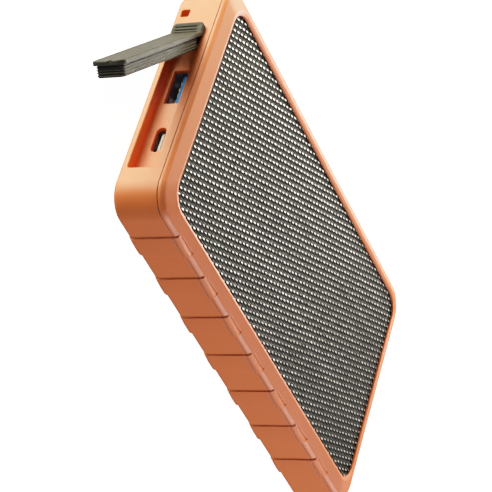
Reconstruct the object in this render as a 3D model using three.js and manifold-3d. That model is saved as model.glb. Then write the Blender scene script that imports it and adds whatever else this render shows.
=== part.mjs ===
// A rugged power bank: a two-part orange case around two pouch cells, a woven front panel, and a port
// bay on one short end that a rubber flap closes.
// Millimetres. +Z is the woven front, -Y the port end, -X the long side with the power button.
// The origin is the middle of the flat back.

import * as THREE from 'three';
import { mergeVertices } from 'three/addons/utils/BufferGeometryUtils.js';
import Module from 'manifold-3d';

const wasm = await Module();
wasm.setup();

// ---------------------------------------------------------------- driving dimensions

const GAP = 0.3;                  // clearance between neighbouring pieces
const REACH = 1;                  // how far a cutter runs past the face that it opens

const CASE = { width: 84, length: 159, thickness: 18, corner: 8.4, wall: 2.2, backChamfer: 1 };
const PART_LINE = 14.45;          // height of the seam between back shell and front frame
const SHELL_TOP = PART_LINE - GAP / 2;
const FRAME_BOTTOM = PART_LINE + GAP / 2;
const TRIM = 5;                   // extra height given to a sloped block before it is trimmed
const RIM = {
  sideTop: 16.4, run: 4.6, rise: 1.6, opening: 5.3, openingCorner: 6.8, lipBottom: 17, rebate: 4.5,
};
const PANEL = { thickness: 1, corner: 7.3, plateBottom: FRAME_BOTTOM + 0.1 };
const LEDGE = { inset: 3.4, bottom: 12.4 };   // thicker top of the shell wall, around the seal groove
const SEAL = { outer: 1.6, inner: 2.5, depth: 1 };

const PAD = { count: 7, first: -63.8, pitch: 19.13, length: 9.2, raise: 0.8, root: 1.1, top: 16.1 };
const BUTTON_SIDE_FIRST_PAD = 2;  // the button and lights take the places of the first two pads

const BAY = { x0: -23.3, x1: 28.9, z0: 2.5, z1: 11.7, depth: 4.2, floor: 1.2, wall: 2, corner: 0.8 };
const PORT_Z = 6.7;
const USB_A = {
  x: -4.7, width: 12.8, height: 5.4, corner: 0.5,
  depth: 13.2, shellWidth: 13.2, shellHeight: 5.8, shellCorner: 0.8, sheet: 0.35, setBack: 0.5,
  tongueHalf: 5.6, tongueLow: -0.2, tongueHigh: 2.1, baseHalf: 5.8, baseLength: 2.5,
  contacts: [-3.5, -1, 1, 3.5], contactHalf: 0.5, contactSheet: 0.25, contactStart: 0.6,
};
const USB_C = {
  x: 15.4, width: 9, height: 3.2,
  depth: 7.2, shellWidth: 9.2, shellHeight: 3.5, shellCorner: 1.74, sheet: 0.4, setBack: 0.1, backGap: 0.4,
  tongueHalf: 3.3, tongueThick: 0.7, baseHalf: 3.4, baseThick: 1.9, baseLength: 1.8,
  riserHalf: 4.2, legSetBack: 1,
};

const FLAP = {
  axisX: -20.6, openAngle: 38.5, thickness: 1.4, overlap: 0.6, start: 1.2, length: 49.9, corner: 2.2,
  plugStart: 1.8, plugEnd: 48.7, plugHeight: 3.6, plugInset: 0.5, plugCorner: 1,
  ribRaise: 0.2, ribs: 3, ribPitch: 0.95, ribHeight: 0.35, firstRib: 0.6,
  notchZ: 8.1, notchRadius: 0.7, anchorLength: 4.2, anchorCorner: 1.6,
};

const LANYARD = { x0: -31.5, x1: -28.9, z0: 2.2, z1: 4.8, barDepth: 2.2, depth: 4.6, wall: 1.9, rib: 2.6 };
const SCREW = {
  x: 36.4, y: 73.9, post: 2.4, shank: 0.8, head: 1.6, headHeight: 1.2, tip: 16.2,
  driveWidth: 0.5, driveLength: 2, driveDepth: 0.6,
};

const BUTTON = { y: -65, length: 10, height: 4, proud: 0.5, flange: 0.8, flangeOverlap: 0.8, slack: 0.7 };
const LIGHTS = {
  count: 4, first: -57.2, pitch: 2.8, width: 1.2, height: 1.4, windowCorner: 0.3,
  legX0: -36.4, legX1: -35, chip: 0.7,
};

const BOARD = { x0: -36.6, x1: 34, y0: -71.2, y1: -47.8, bottom: 2.5, thickness: 1, corner: 1 };
const BOARD_SCREW = {
  x: 30, y: -66.5, hole: 1.1, holeBottom: 0.9, tip: 1.2, shank: 0.8, head: 1.7, headHeight: 1.1,
};
const CONTROLLER = { x: 3, y: -53.5, width: 5, length: 5, height: 0.9 };
const CONVERTER = { x: -5, y: -53.5, width: 6, length: 5, height: 1.2 };
const INDUCTOR = { x: 25, y: -58, width: 7, length: 7, height: 4.2, corner: 1.5 };
const CAPACITORS = { places: [[-18, -55], [-26, -55]], radius: 2.6, height: 6 };
const SWITCH = {
  face: -36.9, depth: 3.3, width: 5, above: 2.3, bore: 1.3, boreDepth: 2,
  plungerRadius: 0.9, plungerFront: -38.1, plungerDepth: 1,
};
const CELL = { halfWidth: 37.2, y0: -44.8, y1: 71, thickness: 4.9, corner: 2 };
const CELL_TAB = { x: 14, halfWidth: 4, halfThickness: 0.15, y0: -46 };
const FOAM = { inset: 3, thickness: 0.5 };
const PROTECTION = { halfWidth: 20, z0: 4.2, z1: 13.4, y0: -47.3, y1: -46.3 };
const LEAD = {
  radius: 0.6, positiveX: 11, negativeX: 15, steps: 12, lift: 0.1, startY: -50.4,
  path: [[-50.8, 6.4], [-50, 8.3], [-47.8, 9]],
};

const END_FACE = -CASE.length / 2;
const BAY_FLOOR = END_FACE + BAY.depth;
const BAY_BACK = BAY_FLOOR + BAY.floor;
const SIDE_FACE = CASE.width / 2;
const BOARD_TOP = BOARD.bottom + BOARD.thickness;
const COMPONENT_Z = BOARD_TOP + GAP;

// ---------------------------------------------------------------- finishes

const FINISH = {
  orange: { color: 0xe8823c, roughness: 0.55, metalness: 0 },
  weave: { color: 0x5a5a55, roughness: 0.45, metalness: 0.3 },
  rubber: { color: 0x3a3936, roughness: 0.7, metalness: 0 },
  blackPlastic: { color: 0x1c1d1f, roughness: 0.5, metalness: 0 },
  silicone: { color: 0xd9d6cf, roughness: 0.6, metalness: 0 },
  steel: { color: 0xb9bcc0, roughness: 0.3, metalness: 1 },
  gold: { color: 0xd9b45a, roughness: 0.3, metalness: 1 },
  blue: { color: 0x1f7fd6, roughness: 0.4, metalness: 0 },
  board: { color: 0x1d5b35, roughness: 0.5, metalness: 0 },
  chip: { color: 0x17181a, roughness: 0.6, metalness: 0 },
  foil: { color: 0xb7bbbf, roughness: 0.4, metalness: 0.8 },
  foam: { color: 0x2b2c2e, roughness: 0.95, metalness: 0 },
  clear: { color: 0xe9f2f4, roughness: 0.15, metalness: 0 },
  light: { color: 0xbfe3ff, roughness: 0.3, metalness: 0 },
  red: { color: 0xb5261e, roughness: 0.5, metalness: 0 },
  black: { color: 0x141414, roughness: 0.5, metalness: 0 },
};

// ---------------------------------------------------------------- outlines

// A rectangle with round corners, in any plane.
function panel(x0, x1, y0, y1, radius = 0) {
  const shape = new THREE.Shape();
  if (radius === 0) {
    return new THREE.Shape([[x0, y0], [x1, y0], [x1, y1], [x0, y1]].map(([x, y]) => new THREE.Vector2(x, y)));
  }
  shape.absarc(x1 - radius, y0 + radius, radius, -Math.PI / 2, 0);
  shape.absarc(x1 - radius, y1 - radius, radius, 0, Math.PI / 2);
  shape.absarc(x0 + radius, y1 - radius, radius, Math.PI / 2, Math.PI);
  shape.absarc(x0 + radius, y0 + radius, radius, Math.PI, Math.PI * 1.5);
  shape.closePath();
  return shape;
}

// The case's plan outline, moved inwards.
function caseOutline(inset, radius = CASE.corner - inset) {
  const halfLength = CASE.length / 2 - inset;
  const halfWidth = SIDE_FACE - inset;
  return panel(-halfWidth, halfWidth, -halfLength, halfLength, radius);
}

function centred(x, y, width, height, radius) {
  return panel(x - width / 2, x + width / 2, y - height / 2, y + height / 2, radius);
}

// A rectangle with half-round ends, a hair short of a half circle so that no two points meet.
function pill(x, y, width, height) {
  return centred(x, y, width, height, height / 2 - 0.01);
}

function disc(x, y, radius) {
  const shape = new THREE.Shape();
  shape.absarc(x, y, radius, 0, Math.PI * 2);
  return shape;
}

function polygon(points) {
  return new THREE.Shape(points.map(([x, y]) => new THREE.Vector2(x, y)));
}

// ---------------------------------------------------------------- extrusions

const CURVE_SEGMENTS = 6;

function extrude(outline, depth) {
  return new THREE.ExtrudeGeometry(outline, { depth, bevelEnabled: false, curveSegments: CURVE_SEGMENTS });
}

// An XY outline raised from z0 to z1.
function alongZ(outline, z0, z1) {
  return extrude(outline, z1 - z0).translate(0, 0, z0);
}

// An XZ outline run from y0 to y1.
function alongY(outline, y0, y1) {
  return extrude(outline, y1 - y0).rotateX(Math.PI / 2).translate(0, y1, 0);
}

// A YZ outline run from x0 to x1.
function alongX(outline, x0, x1) {
  const turn = new THREE.Matrix4().makeBasis(
    new THREE.Vector3(0, 1, 0),
    new THREE.Vector3(0, 0, 1),
    new THREE.Vector3(1, 0, 0),
  );
  return extrude(outline, x1 - x0).applyMatrix4(turn).translate(x0, 0, 0);
}

// The case's outline as a block whose two ends slope inwards.
function slopedBlock(z0, z1, run, rise) {
  const geometry = new THREE.ExtrudeGeometry(caseOutline(0), {
    depth: z1 - z0,
    bevelThickness: rise,
    bevelSize: run,
    bevelOffset: -run,
    bevelSegments: 1,
    curveSegments: CURVE_SEGMENTS,
  });
  return geometry.translate(0, 0, z0);
}

// ---------------------------------------------------------------- joining and cutting

function solid(geometry) {
  const bare = geometry.clone();
  bare.deleteAttribute('normal');
  bare.deleteAttribute('uv');
  const merged = mergeVertices(bare, 1e-4);
  return new wasm.Manifold(new wasm.Mesh({
    numProp: 3,
    vertProperties: Float32Array.from(merged.attributes.position.array),
    triVerts: Uint32Array.from(merged.index.array),
  }));
}

function surface(body) {
  const mesh = body.getMesh();
  const geometry = new THREE.BufferGeometry();
  geometry.setAttribute('position', new THREE.BufferAttribute(mesh.vertProperties, 3));
  geometry.setIndex(new THREE.BufferAttribute(mesh.triVerts, 1));
  geometry.computeVertexNormals();
  return geometry;
}

function join(first, ...others) {
  return others.reduce((sum, other) => sum.add(solid(other)), solid(first));
}

function cut(body, ...cutters) {
  return cutters.reduce((rest, cutter) => rest.subtract(solid(cutter)), body);
}

function piece(name, shape, finish) {
  const geometry = shape.isBufferGeometry ? shape : surface(shape);
  const mesh = new THREE.Mesh(geometry, new THREE.MeshStandardMaterial(finish));
  mesh.name = name;
  return mesh;
}

// ---------------------------------------------------------------- grip pads

// One raised pad on the +X side, with a sloped port-end edge and a sloped front end.
function gripPad(index) {
  const y0 = PAD.first + index * PAD.pitch;
  const y1 = y0 + PAD.length;
  const root = SIDE_FACE - PAD.root;
  const face = SIDE_FACE + PAD.raise;
  const plan = polygon([
    [root, y0], [SIDE_FACE, y0], [face, y0 + PAD.raise],
    [face, y1 - PAD.raise / 2], [face - PAD.raise / 2, y1], [root, y1],
  ]);
  const backEdge = CASE.backChamfer;
  const profile = polygon([
    [root, 0], [face - backEdge, 0], [face, backEdge],
    [face, PAD.top], [face - 2 * PAD.raise, PAD.top + PAD.raise / 2], [root, PAD.top + PAD.raise / 2],
  ]);
  const upright = solid(alongZ(plan, 0, CASE.thickness));
  return upright.intersect(solid(alongY(profile, y0 - REACH, y1 + REACH)));
}

// Every pad. On the button side they stop at the seam.
function gripPads() {
  const belowSeam = solid(alongZ(panel(-CASE.width, CASE.width, -CASE.length, CASE.length), 0, SHELL_TOP));
  const pads = [];
  for (let index = 0; index < PAD.count; index += 1) {
    const pad = gripPad(index);
    pads.push(pad);
    if (index >= BUTTON_SIDE_FIRST_PAD) {
      pads.push(pad.mirror([1, 0, 0]).intersect(belowSeam));
    }
  }
  return pads;
}

// The case's outer block and pads, kept between two heights.
function caseSlice(block, z0, z1) {
  const full = gripPads().reduce((sum, pad) => sum.add(pad), solid(block));
  const margin = CASE.width;
  const keep = alongZ(panel(-margin, margin, -CASE.length, CASE.length), z0, z1);
  return full.intersect(solid(keep));
}

// The four screw places, port end first.
function screwPlaces() {
  return [-1, 1].flatMap((end) => [-1, 1].map((side) => [side * SCREW.x, end * SCREW.y]));
}

// ---------------------------------------------------------------- back shell

function lanyardTunnel() {
  const across = [LANYARD.x0, LANYARD.x1];
  const inner = END_FACE + LANYARD.depth;
  const endPart = alongY(panel(...across, LANYARD.z0, LANYARD.z1), END_FACE - REACH, inner);
  const backPart = alongZ(panel(...across, END_FACE + LANYARD.barDepth, inner), -REACH, LANYARD.z1);
  return [endPart, backPart];
}

function bayCutters() {
  const pocket = alongY(panel(BAY.x0, BAY.x1, BAY.z0, BAY.z1, BAY.corner), END_FACE - REACH, BAY_FLOOR);
  const floorCut = [BAY_FLOOR - REACH, BAY_BACK + REACH];
  const usbA = alongY(centred(USB_A.x, PORT_Z, USB_A.width, USB_A.height, USB_A.corner), ...floorCut);
  const usbC = alongY(pill(USB_C.x, PORT_Z, USB_C.width, USB_C.height), ...floorCut);
  const slot = panel(ANCHOR.neckX0 - GAP, ANCHOR.neckX1 + GAP, ANCHOR.neckZ0 - GAP, ANCHOR.neckZ1 + GAP);
  return [pocket, usbA, usbC, alongY(slot, ...floorCut)];
}

function sideCutters() {
  const through = [-SIDE_FACE - REACH, -SIDE_FACE + CASE.wall + REACH];
  const length = BUTTON.length + BUTTON.slack;
  const height = BUTTON.height + BUTTON.slack;
  const cutters = [alongX(pill(BUTTON.y, PORT_Z, length, height), ...through)];
  for (let index = 0; index < LIGHTS.count; index += 1) {
    const y = LIGHTS.first + index * LIGHTS.pitch;
    const window = centred(y, PORT_Z, LIGHTS.width + 2 * GAP, LIGHTS.height + 2 * GAP, LIGHTS.windowCorner);
    cutters.push(alongX(window, ...through));
  }
  return cutters;
}

function screwCutters(top) {
  const holeRadius = SCREW.shank + GAP;
  return screwPlaces().flatMap(([x, y]) => [
    alongZ(disc(x, y, holeRadius), -REACH, top),
    alongZ(disc(x, y, SCREW.head + GAP), -REACH, SCREW.headHeight + 2 * GAP),
  ]);
}

function backShell() {
  const chamfer = CASE.backChamfer;
  const outer = caseSlice(slopedBlock(chamfer, SHELL_TOP + TRIM, chamfer, chamfer), 0, SHELL_TOP);
  const hollow = cut(
    outer,
    alongZ(caseOutline(CASE.wall), CASE.wall, LEDGE.bottom),
    alongZ(caseOutline(LEDGE.inset), LEDGE.bottom - REACH, SHELL_TOP + REACH),
  );
  const lanyardBack = END_FACE + LANYARD.depth + LANYARD.wall;
  const bayBlock = panel(BAY.x0 - BAY.wall, BAY.x1 + BAY.wall, CASE.wall / 2, SHELL_TOP);
  const lanyardX = [LANYARD.x0 - LANYARD.rib, LANYARD.x1 + LANYARD.rib];
  const lanyardBlock = panel(...lanyardX, CASE.wall / 2, LANYARD.z1 + LANYARD.rib);
  const posts = screwPlaces().map(([x, y]) => alongZ(disc(x, y, SCREW.post), CASE.wall / 2, SHELL_TOP));
  const additions = [
    alongY(bayBlock, END_FACE + REACH, BAY_BACK),
    alongY(lanyardBlock, END_FACE + REACH, lanyardBack),
    ...posts,
  ];
  const filled = additions.reduce((sum, block) => sum.add(solid(block)), hollow);
  const grooveBottom = SHELL_TOP - SEAL.depth - GAP;
  const groove = cut(
    solid(alongZ(caseOutline(SEAL.outer - GAP), grooveBottom, SHELL_TOP + REACH)),
    alongZ(caseOutline(SEAL.inner + GAP), grooveBottom - REACH, SHELL_TOP + 2 * REACH),
  );
  const boardHoles = boardScrewPlaces().map(([x, y]) => (
    alongZ(disc(x, y, BOARD_SCREW.hole), BOARD_SCREW.holeBottom, CASE.wall + REACH)
  ));
  return cut(
    filled.subtract(groove),
    ...bayCutters(),
    ...lanyardTunnel(),
    ...sideCutters(),
    ...screwCutters(SHELL_TOP + REACH),
    ...boardHoles,
  );
}

// ---------------------------------------------------------------- front frame and panel

function frontFrame() {
  const block = slopedBlock(FRAME_BOTTOM - TRIM, RIM.sideTop, RIM.run, RIM.rise);
  const ring = caseSlice(block, FRAME_BOTTOM, CASE.thickness + REACH);
  const rebateCorner = RIM.openingCorner + RIM.opening - RIM.rebate;
  return cut(
    ring,
    alongZ(caseOutline(RIM.opening, RIM.openingCorner), FRAME_BOTTOM - REACH, CASE.thickness + REACH),
    alongZ(caseOutline(RIM.rebate, rebateCorner), FRAME_BOTTOM - REACH, RIM.lipBottom),
    ...screwPlaces().map(([x, y]) => alongZ(disc(x, y, SCREW.shank + GAP), 0, SCREW.tip + GAP)),
  );
}

function frontPanel(z0, z1) {
  return alongZ(caseOutline(RIM.rebate + GAP, PANEL.corner), z0, z1);
}

function seal() {
  const bottom = SHELL_TOP - SEAL.depth;
  return cut(
    solid(alongZ(caseOutline(SEAL.outer), bottom, SHELL_TOP)),
    alongZ(caseOutline(SEAL.inner), bottom - REACH, SHELL_TOP + REACH),
  );
}

function buildCase() {
  const panelTop = RIM.lipBottom - GAP;
  const panelBottom = panelTop - PANEL.thickness;
  const group = new THREE.Group();
  group.add(
    piece('back_shell', backShell(), FINISH.orange),
    piece('front_frame', frontFrame(), FINISH.orange),
    piece('weave_panel', frontPanel(panelBottom, panelTop), FINISH.weave),
    piece('panel_backing_plate', frontPanel(PANEL.plateBottom, panelBottom - GAP), FINISH.blackPlastic),
    piece('perimeter_seal', seal(), FINISH.silicone),
  );
  return group;
}

// ---------------------------------------------------------------- port flap

const FLAP_AXIS_Y = END_FACE - GAP - FLAP.thickness / 2;
const FLAP_Z0 = BAY.z0 - FLAP.overlap;
const FLAP_Z1 = BAY.z1 + FLAP.overlap;

// The barbed root that holds the flap in the case: a neck through the bay floor, a barb behind it.
const ANCHOR = {
  x1: FLAP.axisX - FLAP.start,
  neckX0: BAY.x0 + 0.4, neckX1: BAY.x0 + 1.4,
  neckZ0: 5.7, neckZ1: 8.5,
  barbX0: BAY.x0 - 0.4, barbX1: BAY.x0 + 2.2,
  barbZ0: 4.7, barbZ1: 9.5, barbLength: 1.2,
};

function flapAnchor() {
  const x0 = ANCHOR.x1 - FLAP.anchorLength + FLAP.start;
  const outerY = FLAP_AXIS_Y - FLAP.thickness / 2;
  const face = new THREE.Shape();
  const radius = FLAP.anchorCorner;
  face.moveTo(ANCHOR.x1, FLAP_Z0);
  face.lineTo(ANCHOR.x1, FLAP_Z1);
  face.absarc(x0 + radius, FLAP_Z1 - radius, radius, Math.PI / 2, Math.PI);
  face.absarc(x0 + radius, FLAP_Z0 + radius, radius, Math.PI, Math.PI * 1.5);
  face.closePath();
  const root = panel(ANCHOR.neckX0, ANCHOR.neckX1, BAY.z0 + GAP, BAY.z1 - GAP);
  const neck = panel(ANCHOR.neckX0, ANCHOR.neckX1, ANCHOR.neckZ0, ANCHOR.neckZ1);
  const barb = panel(ANCHOR.barbX0, ANCHOR.barbX1, ANCHOR.barbZ0, ANCHOR.barbZ1);
  const barbY = BAY_BACK + GAP;
  return join(
    alongY(face, outerY, outerY + FLAP.thickness),
    alongY(root, outerY + FLAP.thickness / 2, BAY_FLOOR - GAP),
    alongY(neck, BAY_FLOOR - REACH, barbY + ANCHOR.barbLength / 2),
    alongY(barb, barbY, barbY + ANCHOR.barbLength),
  );
}

// The cover and its ribbed plug, drawn closed with the hinge axis on x = 0, y = 0.
function portFlap() {
  const half = FLAP.thickness / 2;
  const cover = new THREE.Shape();
  const radius = FLAP.corner;
  cover.moveTo(FLAP.start, FLAP_Z0);
  cover.absarc(FLAP.length - radius, FLAP_Z0 + radius, radius, -Math.PI / 2, 0);
  cover.absarc(FLAP.length - radius, FLAP_Z1 - radius, radius, 0, Math.PI / 2);
  cover.lineTo(FLAP.start, FLAP_Z1);
  cover.closePath();
  const plugOutline = (grow) => panel(
    FLAP.plugStart - grow, FLAP.plugEnd + grow,
    BAY.z0 + FLAP.plugInset - grow, BAY.z1 - FLAP.plugInset + grow,
    FLAP.plugCorner,
  );
  const plugBottom = half + FLAP.plugHeight;
  let body = join(alongY(cover, -half, half), alongY(plugOutline(0), 0, plugBottom));
  for (let index = 0; index < FLAP.ribs; index += 1) {
    const y = plugBottom - FLAP.firstRib - index * FLAP.ribPitch;
    body = body.add(solid(alongY(plugOutline(FLAP.ribRaise), y, y + FLAP.ribHeight)));
  }
  const notch = alongY(disc(FLAP.length, FLAP.notchZ, FLAP.notchRadius), -half - REACH, half + 0.01);
  return cut(body, notch);
}

function buildFlap() {
  const group = new THREE.Group();
  const moving = new THREE.Group();
  moving.position.set(FLAP.axisX, FLAP_AXIS_Y, 0);
  moving.rotation.z = THREE.MathUtils.degToRad(-FLAP.openAngle);
  moving.add(piece('port_flap', portFlap(), FINISH.rubber));
  const webRadius = FLAP.thickness / 2;
  const web = alongZ(disc(FLAP.axisX, FLAP_AXIS_Y, webRadius), FLAP_Z0 + GAP, FLAP_Z1 - GAP);
  group.add(
    moving,
    piece('flap_anchor', flapAnchor(), FINISH.rubber),
    piece('flap_hinge_web', web, FINISH.rubber),
  );
  return group;
}

// ---------------------------------------------------------------- sockets

const SOCKET_FRONT = BAY_BACK + GAP;

function sleeve(x, width, height, radius, thickness, depth) {
  const outer = centred(x, PORT_Z, width, height, radius);
  const inner = centred(x, PORT_Z, width - 2 * thickness, height - 2 * thickness, radius - thickness);
  return cut(
    solid(alongY(outer, SOCKET_FRONT, SOCKET_FRONT + depth)),
    alongY(inner, SOCKET_FRONT - REACH, SOCKET_FRONT + depth + REACH),
  );
}

function usbA() {
  const { x, depth } = USB_A;
  const front = SOCKET_FRONT + USB_A.setBack;
  const back = SOCKET_FRONT + depth - USB_A.setBack;
  const baseFront = back - USB_A.baseLength;
  const low = PORT_Z + USB_A.tongueLow;
  const high = PORT_Z + USB_A.tongueHigh;
  const tongue = join(
    alongY(panel(x - USB_A.tongueHalf, x + USB_A.tongueHalf, low, high), front, baseFront + REACH),
    alongY(panel(x - USB_A.baseHalf, x + USB_A.baseHalf, PORT_Z - USB_A.tongueHigh, high), baseFront, back),
  );
  const shell = sleeve(x, USB_A.shellWidth, USB_A.shellHeight, USB_A.shellCorner, USB_A.sheet, depth);
  const pieces = [piece('usb_a_shell', shell, FINISH.steel), piece('usb_a_tongue', tongue, FINISH.blue)];
  USB_A.contacts.forEach((offset, index) => {
    const middle = x + offset;
    const half = USB_A.contactHalf;
    const strip = panel(middle - half, middle + half, low - GAP - USB_A.contactSheet, low - GAP);
    const contact = alongY(strip, front + USB_A.contactStart, baseFront - GAP);
    pieces.push(piece(`usb_a_contact_${index + 1}`, contact, FINISH.gold));
  });
  return pieces;
}

function usbC() {
  const { x, depth, tongueHalf, tongueThick, baseHalf, baseThick } = USB_C;
  const front = SOCKET_FRONT + USB_C.setBack;
  const back = SOCKET_FRONT + depth - USB_C.backGap;
  const baseFront = back - USB_C.baseLength;
  const tongue = join(
    alongY(centred(x, PORT_Z, 2 * tongueHalf, tongueThick, 0), front, baseFront + REACH),
    alongY(centred(x, PORT_Z, 2 * baseHalf, baseThick, 0), baseFront, back),
  );
  const shell = sleeve(x, USB_C.shellWidth, USB_C.shellHeight, USB_C.shellCorner, USB_C.sheet, depth);
  const riserX = [x - USB_C.riserHalf, x + USB_C.riserHalf];
  const riser = panel(...riserX, BOARD.y0 + GAP, SOCKET_FRONT + depth - USB_C.legSetBack);
  const riserTop = PORT_Z - USB_C.shellHeight / 2 - GAP;
  return [
    piece('usb_c_shell', shell, FINISH.steel),
    piece('usb_c_tongue', tongue, FINISH.steel),
    piece('usb_c_riser', alongZ(riser, COMPONENT_Z, riserTop), FINISH.blackPlastic),
  ];
}

// ---------------------------------------------------------------- circuit board

function boardScrewPlaces() {
  return [-1, 1].map((side) => [side * BOARD_SCREW.x, BOARD_SCREW.y]);
}

function onBoard(outline, height) {
  return alongZ(outline, COMPONENT_Z, COMPONENT_Z + height);
}

// A part of the board that is rectangular in plan.
function component({ x, y, width, length, height, corner = 0 }) {
  return onBoard(centred(x, y, width, length, corner), height);
}

function boardScrew([x, y]) {
  const headBottom = BOARD_TOP + GAP;
  return join(
    alongZ(disc(x, y, BOARD_SCREW.shank), BOARD_SCREW.tip, headBottom + GAP),
    alongZ(disc(x, y, BOARD_SCREW.head), headBottom, headBottom + BOARD_SCREW.headHeight),
  );
}

function buildBoard() {
  const group = new THREE.Group();
  const outline = panel(BOARD.x0, BOARD.x1, BOARD.y0, BOARD.y1, BOARD.corner);
  const holes = boardScrewPlaces().map(([x, y]) => (
    alongZ(disc(x, y, BOARD_SCREW.hole), 0, BOARD_TOP + REACH)
  ));
  group.add(
    ...usbA(),
    ...usbC(),
    piece('circuit_board', cut(solid(alongZ(outline, BOARD.bottom, BOARD_TOP)), ...holes), FINISH.board),
    piece('charge_controller', component(CONTROLLER), FINISH.chip),
    piece('output_converter', component(CONVERTER), FINISH.chip),
    piece('power_inductor', component(INDUCTOR), FINISH.chip),
    ...CAPACITORS.places.map(([x, y], index) => (
      piece(`capacitor_${index + 1}`, onBoard(disc(x, y, CAPACITORS.radius), CAPACITORS.height), FINISH.foil)
    )),
    ...boardScrewPlaces().map((place, index) => (
      piece(`board_screw_${index + 1}`, boardScrew(place), FINISH.steel)
    )),
  );
  return group;
}

// ---------------------------------------------------------------- power button and charge lights

function buttonCap() {
  const { y, length, height } = BUTTON;
  const innerFace = -SIDE_FACE + CASE.wall;
  const flangeFront = innerFace + GAP;
  const flangeBack = flangeFront + BUTTON.flange;
  const flangeLength = length + 2 * BUTTON.flangeOverlap;
  const flangeHeight = height + 2 * BUTTON.flangeOverlap;
  const nubBack = SWITCH.plungerFront - GAP;
  return join(
    alongX(pill(y, PORT_Z, length, height), -SIDE_FACE - BUTTON.proud, flangeBack),
    alongX(pill(y, PORT_Z, flangeLength, flangeHeight), flangeFront, flangeBack),
    alongX(disc(y, PORT_Z, SWITCH.plungerRadius), flangeFront + GAP, nubBack),
  );
}

function buildButton() {
  const group = new THREE.Group();
  const halfWidth = SWITCH.width / 2;
  const body = panel(BUTTON.y - halfWidth, BUTTON.y + halfWidth, COMPONENT_Z, PORT_Z + SWITCH.above);
  const bodyX = [SWITCH.face, SWITCH.face + SWITCH.depth];
  const boreX = [SWITCH.face - REACH, SWITCH.face + SWITCH.boreDepth];
  const bore = alongX(disc(BUTTON.y, PORT_Z, SWITCH.bore), ...boreX);
  const plunger = disc(BUTTON.y, PORT_Z, SWITCH.plungerRadius);
  const plungerX = [SWITCH.plungerFront, SWITCH.face + SWITCH.plungerDepth];
  group.add(
    piece('power_button', buttonCap(), FINISH.rubber),
    piece('switch_plunger', alongX(plunger, ...plungerX), FINISH.blackPlastic),
    piece('switch_body', cut(solid(alongX(body, ...bodyX)), bore), FINISH.steel),
  );
  return group;
}

function buildLights() {
  const group = new THREE.Group();
  const legX = [LIGHTS.legX0, LIGHTS.legX1];
  const ledTop = COMPONENT_Z + LIGHTS.chip;
  const top = PORT_Z + LIGHTS.height / 2;
  const bottom = PORT_Z - LIGHTS.height / 2;
  const profile = polygon([
    [-SIDE_FACE, bottom], [legX[0], bottom], [legX[0], ledTop + GAP],
    [legX[1], ledTop + GAP], [legX[1], top], [-SIDE_FACE, top],
  ]);
  for (let index = 0; index < LIGHTS.count; index += 1) {
    const y = LIGHTS.first + index * LIGHTS.pitch;
    const y0 = y - LIGHTS.width / 2;
    const y1 = y + LIGHTS.width / 2;
    group.add(
      piece(`light_guide_${index + 1}`, alongY(profile, y0, y1), FINISH.clear),
      piece(`charge_light_${index + 1}`, alongZ(panel(...legX, y0, y1), COMPONENT_Z, ledTop), FINISH.light),
    );
  }
  return group;
}

// ---------------------------------------------------------------- cells

// A wire from the main board up to the protection board.
function lead(x) {
  const stops = [[LEAD.startY, COMPONENT_Z + LEAD.lift], ...LEAD.path];
  const path = new THREE.CatmullRomCurve3(stops.map(([y, z]) => new THREE.Vector3(x, y, z)));
  const options = { steps: LEAD.steps, extrudePath: path, curveSegments: 4 };
  return new THREE.ExtrudeGeometry(disc(0, 0, LEAD.radius), options);
}

function buildCells() {
  const group = new THREE.Group();
  const cellOutline = panel(-CELL.halfWidth, CELL.halfWidth, CELL.y0, CELL.y1, CELL.corner);
  const foamOutline = panel(
    -CELL.halfWidth + FOAM.inset, CELL.halfWidth - FOAM.inset,
    CELL.y0 + FOAM.inset, CELL.y1 - FOAM.inset, CELL.corner,
  );
  const foamBack = CASE.wall + GAP;
  const cellBack = foamBack + FOAM.thickness + GAP;
  const foamMiddle = cellBack + CELL.thickness + GAP;
  const cellFront = foamMiddle + FOAM.thickness + GAP;
  group.add(
    piece('foam_pad_back', alongZ(foamOutline, foamBack, foamBack + FOAM.thickness), FINISH.foam),
    piece('battery_cell_back', alongZ(cellOutline, cellBack, cellBack + CELL.thickness), FINISH.foil),
    piece('foam_pad_middle', alongZ(foamOutline, foamMiddle, foamMiddle + FOAM.thickness), FINISH.foam),
    piece('battery_cell_front', alongZ(cellOutline, cellFront, cellFront + CELL.thickness), FINISH.foil),
  );
  const tabs = [cellBack, cellFront].flatMap((z) => [[-CELL_TAB.x, z], [CELL_TAB.x, z]]);
  tabs.forEach(([x, cellBottom], index) => {
    const middle = cellBottom + CELL.thickness / 2;
    const { halfWidth, halfThickness, y0 } = CELL_TAB;
    const strip = panel(x - halfWidth, x + halfWidth, middle - halfThickness, middle + halfThickness);
    group.add(piece(`cell_tab_${index + 1}`, alongY(strip, y0, CELL.y0 - GAP), FINISH.foil));
  });
  const protection = panel(-PROTECTION.halfWidth, PROTECTION.halfWidth, PROTECTION.z0, PROTECTION.z1);
  group.add(
    piece('protection_board', alongY(protection, PROTECTION.y0, PROTECTION.y1), FINISH.board),
    piece('cell_lead_positive', lead(LEAD.positiveX), FINISH.red),
    piece('cell_lead_negative', lead(LEAD.negativeX), FINISH.black),
  );
  return group;
}

// ---------------------------------------------------------------- case screws

function caseScrew([x, y]) {
  const headTop = GAP + SCREW.headHeight;
  const { driveWidth, driveLength } = SCREW;
  const driveTop = GAP + SCREW.driveDepth;
  return cut(
    join(
      alongZ(disc(x, y, SCREW.head), GAP, headTop),
      alongZ(disc(x, y, SCREW.shank), headTop - GAP, SCREW.tip),
    ),
    alongZ(centred(x, y, driveWidth, driveLength, 0), -REACH, driveTop),
    alongZ(centred(x, y, driveLength, driveWidth, 0), -REACH, driveTop),
  );
}

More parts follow.
